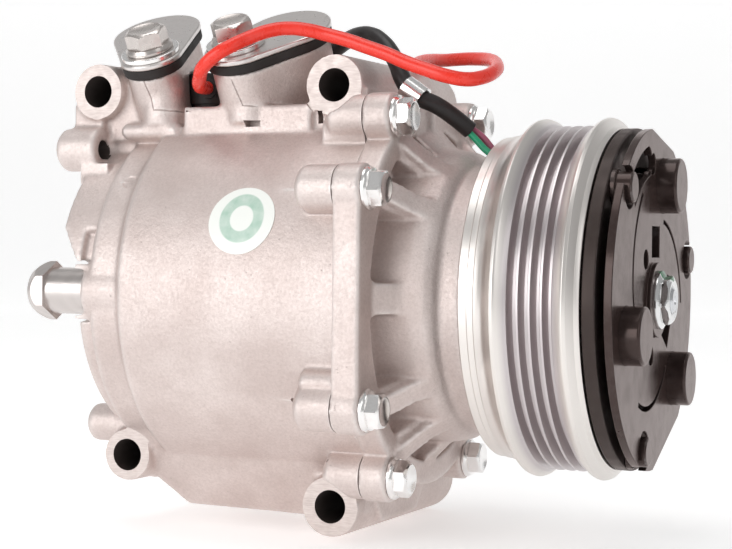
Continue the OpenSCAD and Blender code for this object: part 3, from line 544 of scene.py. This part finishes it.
def refine(name, node, width, segments):
    """A copy of a CAD node with its sharp edges broken by width millimetres."""
    row = [r for r in frame["record"]["subparts"] if r["node"] == node][0]
    shape = node_shape(node)
    bmesh.ops.dissolve_limit(shape, angle_limit=math.radians(0.5), verts=shape.verts,
                             edges=shape.edges)
    piece = add_piece(name, shape, NODES[node]["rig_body"], row["material_slot"], [node])
    modify(piece, "BEVEL", width=width * MM, segments=segments, limit_method="ANGLE",
           angle_limit=math.radians(30), use_clamp_overlap=True)
    modify(piece, "WEIGHTED_NORMAL", keep_sharp=True)


# ---------------------------------------------------------------- castings

CAST_VOXEL = 0.75 * MM
CAST_SMOOTHING = 7
CAST_KEPT_FACES = 0.45
CAST_SHARP_ANGLE = math.radians(38)
JOINT_X = -57
JOINT_GAP = 0.2
OUTSIDE_R = 90
SHELL_R = 54
SCROLL_REAR_X = -110
SPIGOT_R = 54.2
JOINT_SPARE = 1.6
JOINT_DISC_R = 60
LUG_R = 7.1
EAR_FACE_Y = -31
EAR_FAR_Y = 50
EAR_BORE_R = 5.25
EAR_SPARE = 0.5
EAR_DRAFT = 1.7
EARS = [(-157, 66, 9.2), (-71, 65.7, 9.6), (-144.7, -54, 8.5), (-71, -66, 9.6)]
REAR_LUG_AT = (-30, 46.8)
REAR_LUG_BORE_R = 3.25
REAR_LUG_END_X = -154
WEB_REAR_X = -71.8
WEB = [(-28, 47.8), (-38.6, 47.8), (-38.6, 53.5), (-32.2, 58.4), (-28, 58.4)]
BOLT_ANGLES = [30, 62, 122, 150, 210, 238, 300, 330]
BOLT_PITCH_R = 65
PANEL_LINES = [[(-136.2, 69.5), (-134, 59.2), (-121.5, 58.6)],
               [(-103, 67.6), (-101.2, 59.8), (-97, 59.4)]]
# Each mark is X, Z, radius and depth; each slot is X, Z, half its width and half its height.
ROUND_MARKS = [(-136.4, 35.4, 2.7, 0.35), (-73.9, 32, 0.8, 1.2), (-74.3, -31.1, 0.8, 1.2),
               (-68.4, -50.4, 0.6, 1)]
CORE_SLOTS = [(-98.6, 54, 2.6, 1.1), (-75.8, 55.6, 0.9, 2.2)]
SLOT_DEPTH = 3.5
CAST, MACHINED, BORE = 0, 1, 2


def bolt_place(angle):
    a = math.radians(angle)
    return BOLT_PITCH_R * math.cos(a), BOLT_PITCH_R * math.sin(a)


def cast(name, node, additions, cutters):
    """A casting: the CAD shape with additions, rounded as a casting is, then machined again."""
    shape = node_shape(node)
    additions(shape)
    piece = add_piece(name, shape, "housing", "cast_aluminium", [node])
    modify(piece, "REMESH", mode="VOXEL", voxel_size=CAST_VOXEL, adaptivity=0.0)
    modify(piece, "SMOOTH", factor=0.5, iterations=CAST_SMOOTHING)
    modify(piece, "DECIMATE", ratio=CAST_KEPT_FACES)
    for cutter in cutters:
        cut(piece, cutter)
    piece.data.shade_smooth()
    piece.data.set_sharp_from_angle(angle=CAST_SHARP_ANGLE)
    # The third slot, bore_metal, is painted shade: a near-black colour on the bore walls.
    paint(piece, "cast_aluminium", "machined_aluminium", "bore_metal")
    return piece


def mark_faces(piece, kind):
    """Gives each face the material that kind says; machined faces are shaded flat."""
    for face in piece.data.polygons:
        face.material_index = kind(face.center / MM, face.normal)
        face.use_smooth = face.material_index != MACHINED


def rear_additions(shape):
    """Metal that the machining takes off again, and the web under the upper front ear."""
    for x, z, r in EARS:
        add_drum(shape, "Y", (x, 0, z), EAR_FACE_Y - EAR_SPARE, EAR_FACE_Y + 3, r - 0.1, 48)
        add_drum(shape, "Y", (x, 0, z), EAR_FAR_Y - 3, EAR_FAR_Y + EAR_SPARE, r + EAR_DRAFT, 48)
    add_drum(shape, "X", (0, 0, 0), JOINT_X - 2, JOINT_X + JOINT_SPARE, JOINT_DISC_R, 128)
    for angle in BOLT_ANGLES:
        add_drum(shape, "X", (0, *bolt_place(angle)), JOINT_X - 2, JOINT_X + JOINT_SPARE, LUG_R, 32)
    add_prism(shape, WEB, WEB_REAR_X, JOINT_X + 0.4)


def add_prism(shape, outline, x0, x1):
    """Adds a closed prism along X from its (Y, Z) outline."""
    ends = [[shape.verts.new(mm(x, y, z)) for y, z in outline] for x in (x0, x1)]
    shape.faces.new(ends[0])
    shape.faces.new(ends[1])
    for k, corner in enumerate(ends[0]):
        after = (k + 1) % len(outline)
        shape.faces.new([corner, ends[0][after], ends[1][after], ends[1][k]])


def add_tube(shape, points, radius):
    """Adds a closed tube with pointed ends through points in metres."""
    rings = []
    for k, point in enumerate(points):
        run = (points[min(k + 1, len(points) - 1)] - points[max(k - 1, 0)]).normalized()
        side = run.cross(Vector((0, 1, 0.01))).normalized()
        up = side.cross(run)
        r = radius if 0 < k < len(points) - 1 else 0.2 * radius
        rings.append([shape.verts.new(point + r * (math.cos(a) * side + math.sin(a) * up))
                      for a in [math.pi / 3 * n for n in range(6)]])
    shape.faces.new(rings[0])
    shape.faces.new(rings[-1])
    for a, b in zip(rings, rings[1:]):
        for n in range(6):
            shape.faces.new([a[n], a[(n + 1) % 6], b[(n + 1) % 6], b[n]])


def on_surface(piece, x, z):
    """The point and normal where a line along +Y first meets a piece."""
    _, place, normal, _ = piece.ray_cast(mm(x, -120, z), Vector((0, 1, 0)))
    return place, normal


def score(piece, corners, radius=0.3):
    """Cuts a fine line along a surface through (X, Z) corners."""
    points = []
    for (x0, z0), (x1, z1) in zip(corners, corners[1:]):
        steps = max(2, round(math.hypot(x1 - x0, z1 - z0) / 1.2))
        for k in range(steps):
            t = k / steps
            points.append(on_surface(piece, x0 + t * (x1 - x0), z0 + t * (z1 - z0))[0])
    points.append(on_surface(piece, *corners[-1])[0])
    cut(piece, lambda shape: add_tube(shape, points, radius * MM))


def dimple(piece, x, z, radius, depth):
    """Sinks a flat round mark or a small pit into a surface, square to it."""
    place, normal = on_surface(piece, x, z)
    turn = normal.to_track_quat("Z", "Y").to_matrix()
    at = turned_place(place / MM, turn)
    levels = [(-depth, round_(0)), (-depth, round_(0.8 * radius)), (0, round_(radius)),
              (4, round_(radius)), (4, round_(0))]
    cut(piece, lambda shape: add_rings(shape, levels, 32, at))


def joint_face(shape):
    add_drum(shape, "X", (0, 0, 0), JOINT_X - JOINT_GAP, JOINT_X + 8, OUTSIDE_R, 64)


def scroll_space(shape):
    add_drum(shape, "X", (0, 0, 0), SCROLL_REAR_X, JOINT_X + 1, SHELL_R, 128)


def ear_faces(shape):
    for x, z, r in EARS:
        add_drum(shape, "Y", (x, 0, z), EAR_FACE_Y - 6, EAR_FACE_Y, r + 1.2, 64)
        add_drum(shape, "Y", (x, 0, z), EAR_FAR_Y, EAR_FAR_Y + 6, r + 3.5, 64)


def ear_bores(shape):
    for x, z, _ in EARS:
        add_drum(shape, "Y", (x, 0, z), EAR_FACE_Y - 8, EAR_FAR_Y + 8, EAR_BORE_R, 64)


def no_additions(shape):
    """The CAD shape has all there is."""


def front_joint_face(shape):
    near, far = JOINT_X + JOINT_GAP, JOINT_X - 8
    add_lathe(shape, [(near, SPIGOT_R), (near, OUTSIDE_R), (far, OUTSIDE_R), (far, SPIGOT_R),
                      (near, SPIGOT_R)], 64)


rear_casting = cast("rear_casting", "rear_housing", rear_additions,
                    [joint_face, scroll_space, ear_faces, ear_bores])
cast("front_casting", "front_housing", no_additions, [front_joint_face])


def rear_face_kind(place, normal):
    near = abs(place.y - EAR_FACE_Y) < 0.05 and normal.y < -0.9
    far = abs(place.y - EAR_FAR_Y) < 0.05 and normal.y > 0.9
    for x, z, r in EARS:
        reach = math.hypot(place.x - x, place.z - z)
        if reach < EAR_BORE_R + 0.05:
            return BORE
        if reach < r + 1.2 and (near or far):
            return MACHINED
    reach = math.hypot(place.y - REAR_LUG_AT[0], place.z - REAR_LUG_AT[1])
    return BORE if reach < REAR_LUG_BORE_R and place.x < REAR_LUG_END_X else CAST


mark_faces(rear_casting, rear_face_kind)


def make_casting_marks():
    """Ejector marks, pattern lines and small core pits of the rear casting."""
    for corners in PANEL_LINES:
        score(rear_casting, corners)
    for x, z, radius, depth in ROUND_MARKS:
        dimple(rear_casting, x, z, radius, depth)
    for x, z, width, height in CORE_SLOTS:
        place, _ = on_surface(rear_casting, x, z)
        front, floor = place.y / MM - 3, place.y / MM + SLOT_DEPTH
        outline = [(front, z - height), (floor, z - 0.6 * height), (floor, z + height),
                   (front, z + height)]
        cut(rear_casting, lambda shape: add_prism(shape, outline, x - width, x + width))


# ---------------------------------------------------------------- fasteners


def add_rings(shape, levels, steps, place):
    """Adds a closed skin over rings; a level is (height, radius at an angle).

    place maps (height, radius, angle) to a point.
    """
    rings = []
    for height, reach in levels:
        count = 1 if reach(0) == 0 else steps
        rings.append([shape.verts.new(place(height, reach(2 * math.pi * k / steps),
                                            2 * math.pi * k / steps)) for k in range(count)])
    skin_rings(shape, rings, steps)


def hexagon(across, limit):
    """Radius of a hexagon at an angle, cut by a circle of radius limit."""
    def reach(angle):
        off = (angle + math.pi / 6) % (math.pi / 3) - math.pi / 6
        return min(across / 2 / math.cos(off), limit)
    return reach


def round_(radius):
    return lambda angle: radius


def add_hex_bolt(shape, place, across, height, flange_r, flange_h, dish=0.7, shank=None):
    """A flange bolt head with a chamfered, dished top; place maps (height, radius, angle)."""
    corner = across / math.sqrt(3)
    half = across / 2
    levels = [(0, round_(0)), (0, round_(flange_r - 0.25)), (0.25, round_(flange_r)),
              (flange_h * 0.6, round_(flange_r)), (flange_h, round_(flange_r - 0.5)),
              (flange_h + 0.35, round_(corner + 0.15)), (flange_h + 0.5, hexagon(across, corner))]
    top = flange_h + height
    drop = (corner - half) * 0.58 + 0.35
    for k in range(7):
        t = k / 6
        limit = corner + 0.1 - (corner - half + 0.7) * t
        levels.append((top - drop * (1 - t), hexagon(across, limit)))
    rim = half - 0.75
    levels += [(top, round_(rim)), (top - 0.1, round_(rim - 0.25)),
               (top - dish, round_(rim * 0.55)), (top - dish, round_(0))]
    add_rings(shape, levels, 72, place)
    if shank:
        add_rings(shape, [(-shank[1], round_(0)), (-shank[1], round_(shank[0])),
                          (0.2, round_(shank[0])), (0.2, round_(0))], 24, place)


def turned_place(origin, turn):
    """Maps (height, radius, angle) with height along the Z of a turned frame at origin."""
    def place(height, radius, angle):
        point = Vector((radius * math.cos(angle), radius * math.sin(angle), height))
        return (Vector(origin) + turn @ point) * MM
    return place


def along_x(spin=0.0):
    """Turn that points a fastener's height along +X, spun about it by spin degrees."""
    return Matrix.Rotation(math.radians(90), 3, "Y") @ Matrix.Rotation(math.radians(spin), 3, "Z")


FLANGE_X = -48.3
TALL_BOSS = 62
TALL_BOSS_X = -46.5
HEX_SPINS = [12, 47, 25, 8, 0, 33, 51, 20]
FLANGE_BOLT = dict(across=10, height=4.4, flange_r=6.5, flange_h=1.5, shank=(2.9, 18))
CAP_BOLT = dict(across=12, height=5.6, flange_r=7.8, flange_h=1.6, dish=0.5, shank=(3.3, 24))
CAP_BOLT_SEAT = 1.65
PORT_TILT = 30
# Place of each port's bolt and the spin of its hexagon in degrees.
CAP_BOLTS = [((-136.2, -32, 77.6), 8), ((-104.9, -32, 79.1), 38)]
NUT_AT = (25, 0, 0)
NUT_SPIN = 12
NUT_ACROSS = 13.7
NUT_CORNER_R = 7.9
NUT_BORE_R = 4.05
SHARP_FASTENER = 28
CLIP_RING = (-49.8, -16.5, 63.8)
CLIP_TILT = 35
CLIP_SCREW = (-51.8, -6, 61.4)
BAND_HALF_WIDTH, BAND_BORE_R, BAND_R = 3.6, 3.1, 3.9
FOOT_HALF_WIDTH = 3.5
BLADE_Z = 37.5


def make_housing_bolts():
    shape = bmesh.new()
    for angle, spin in zip(BOLT_ANGLES, HEX_SPINS):
        y, z = bolt_place(angle)
        x = TALL_BOSS_X if angle == TALL_BOSS else FLANGE_X
        add_hex_bolt(shape, turned_place((x, y, z), along_x(spin)), **FLANGE_BOLT)
    add_piece("flange_bolts", shape, "housing", "zinc_steel", ["housing_bolts"], SHARP_FASTENER)


def make_cap_bolts():
    """The two bolts through the port caps, square to the tilted port faces."""
    turn = Matrix.Rotation(math.radians(PORT_TILT), 3, "X")
    shape = bmesh.new()
    for place, spin in CAP_BOLTS:
        spun = turn @ Matrix.Rotation(math.radians(spin), 3, "Z")
        origin = Vector(place) + turn @ Vector((0, 0, CAP_BOLT_SEAT))
        add_hex_bolt(shape, turned_place(origin, spun), **CAP_BOLT)
    bolts = add_piece("port_cap_bolts", shape, "housing", "zinc_steel", ["cap_bolts"],
                      SHARP_FASTENER)
    paint(bolts, "cap_bolt_steel")


def make_hub_nut():
    """Flange nut: cone, hexagon chamfered at both ends, and a bore that shows the shaft end."""
    levels = [(0, round_(NUT_BORE_R)), (0, round_(8.9)), (0.5, round_(9)), (1.0, round_(8.9)),
              (1.8, round_(7.6)), (2.0, hexagon(NUT_ACROSS, 7.4)),
              (2.4, hexagon(NUT_ACROSS, NUT_CORNER_R))]
    for k in range(6):
        t = k / 5
        levels.append((3.4 + 0.8 * t, hexagon(NUT_ACROSS, NUT_CORNER_R - 1.3 * t * t)))
    levels += [(4.45, round_(6.2)), (4.5, round_(5.4)), (4.1, round_(4.4)),
               (3.6, round_(NUT_BORE_R)), (0, round_(NUT_BORE_R))]
    shape = bmesh.new()
    add_rings(shape, levels, 72, turned_place(NUT_AT, along_x(NUT_SPIN)))
    bmesh.ops.remove_doubles(shape, verts=shape.verts, dist=1e-7)
    nut = add_piece("shaft_nut", shape, "shaft", "zinc_steel", ["hub_nut"], SHARP_FASTENER)
    paint(nut, "nut_steel")


def make_lead_clip():
    """A folded strap round the sleeve, its foot, and the pan-head screw that holds it."""
    shape = bmesh.new()
    band = Matrix.Rotation(math.radians(CLIP_TILT), 3, "Y") @ along_x()
    bore, rim, half = round_(BAND_BORE_R), round_(BAND_R), BAND_HALF_WIDTH
    add_rings(shape, [(-half, bore), (-half, rim), (half, rim), (half, bore), (-half, bore)], 36,
              turned_place(CLIP_RING, band))
    bmesh.ops.remove_doubles(shape, verts=shape.verts, dist=1e-7)
    x, y, z = CLIP_SCREW
    foot = [(y - 8.6, z + 0.05), (y - 8.6, z + 2.4), (y - 7.8, z + 2.4), (y - 7.3, z + 0.95),
            (y + 3.6, z + 0.95), (y + 3.6, z + 0.05)]
    add_prism(shape, foot, x - FOOT_HALF_WIDTH, x + FOOT_HALF_WIDTH)
    add_rings(shape, [(0.9, round_(0)), (0.9, round_(3.3)), (2, round_(3.2)), (2.7, round_(2.5)),
                      (2.9, round_(1.5)), (2.1, round_(1.1)), (2.1, round_(0))], 36,
              turned_place(CLIP_SCREW, Matrix.Identity(3)))
    add_rings(shape, [(-8, round_(0)), (-8, round_(1.5)), (1, round_(1.5)), (1, round_(0))], 16,
              turned_place(CLIP_SCREW, Matrix.Identity(3)))
    add_piece("strap_clip", shape, "housing", "zinc_steel", ["lead_clip"], 30)


# Name, CAD node, width of the broken edge and its steps.
REFINED = [
    ("drive_pulley", "pulley", 0.2, 2), ("clutch_front_plate", "clutch_hub", 0.35, 3),
    ("clutch_damper_cups", "damper_cups", 0.5, 3), ("clutch_armature", "armature_plate", 0.25, 2),
    ("clutch_stop_pins", "armature_pins", 0.35, 2), ("valve_body", "relief_valve_body", 0.3, 2),
    ("discharge_cap_plate", "discharge_cap", 0.5, 3), ("suction_cap_plate", "suction_cap", 0.5, 3),
    ("discharge_pad", "discharge_cap_pad", 0.6, 3), ("cap_bolt_washers", "cap_washers", 0.25, 2),
    ("switch_boot", "thermal_switch", 0.5, 3)]

make_casting_marks()
make_housing_bolts()
make_cap_bolts()
make_hub_nut()
for row in REFINED:
    refine(*row)
make_lead_clip()
plug = NODES["red_lead_connector"]
paint(plug, "black_plastic", "zinc_steel")
for face in plug.data.polygons:
    face.material_index = int(face.center.z < BLADE_Z * MM)
refine("suction_pad", "suction_cap_pad", 0.6, 3)

# ---------------------------------------------------------------- stage and light


WORLD_STRENGTH = 0.42
FLOOR_GLOW = 0.38


def make_floor():
    """A pale floor that turns up into a backdrop far behind the object."""
    low = CAD_LOW.z - 0.4 * MM
    reach, rise, bend = 2.6, 2.2, 0.7
    profile = [(-reach, low)] + [
        (reach - bend + bend * math.sin(a), low + bend - bend * math.cos(a))
        for a in [math.pi / 2 * k / 16 for k in range(17)]] + [(reach, low + rise)]
    shape = bmesh.new()
    a = VIEW_AZIMUTH
    level, away = Vector((math.cos(a), math.sin(a), 0)), Vector((-math.sin(a), math.cos(a), 0))
    rows = [[shape.verts.new(level * side + away * along + Vector((0, 0, z)))
             for side in (-4, 4)] for along, z in profile]
    for row, after in zip(rows, rows[1:]):
        shape.faces.new([row[0], row[1], after[1], after[0]])
    data = bpy.data.meshes.new("floor")
    shape.to_mesh(data)
    shape.free()
    floor = bpy.data.objects.new("floor", data)
    bpy.context.scene.collection.objects.link(floor)
    data.shade_smooth()
    p = Paint("floor", (0.94, 0.94, 0.94), roughness=0.9, Emission_Color=(1, 1, 1, 1),
              Emission_Strength=FLOOR_GLOW)
    data.materials.append(p.material)


def make_light(name, place, aim, size, power):
    data = bpy.data.lights.new(name, "AREA")
    data.shape = "RECTANGLE"
    data.size, data.size_y = size
    data.energy = power
    light = bpy.data.objects.new(name, data)
    bpy.context.scene.collection.objects.link(light)
    light.location = place
    light.rotation_euler = (Vector(aim) - Vector(place)).to_track_quat("-Z", "Y").to_euler()


def make_world():
    world = bpy.data.worlds.new("studio")
    bpy.context.scene.world = world
    world.use_nodes = True
    background = world.node_tree.nodes["Background"]
    background.inputs["Color"].default_value = (1, 1, 1, 1)
    background.inputs["Strength"].default_value = WORLD_STRENGTH


# Name, place, what it points at, size and power; metres and watts.
LIGHTS = [("key", (-0.62, -1.15, 0.22), (-0.08, 0, 0), (0.9, 0.9), 7.6),
          ("right", (0.9, -0.7, 0.5), (-0.03, 0, 0), (0.4, 0.9), 1.2),
          ("top", (-0.25, -0.15, 1.2), (-0.08, 0, 0), (0.9, 0.7), 4)]

make_floor()
make_world()
for row in LIGHTS:
    make_light(*row)
bpy.context.scene.view_settings.view_transform = "Standard"
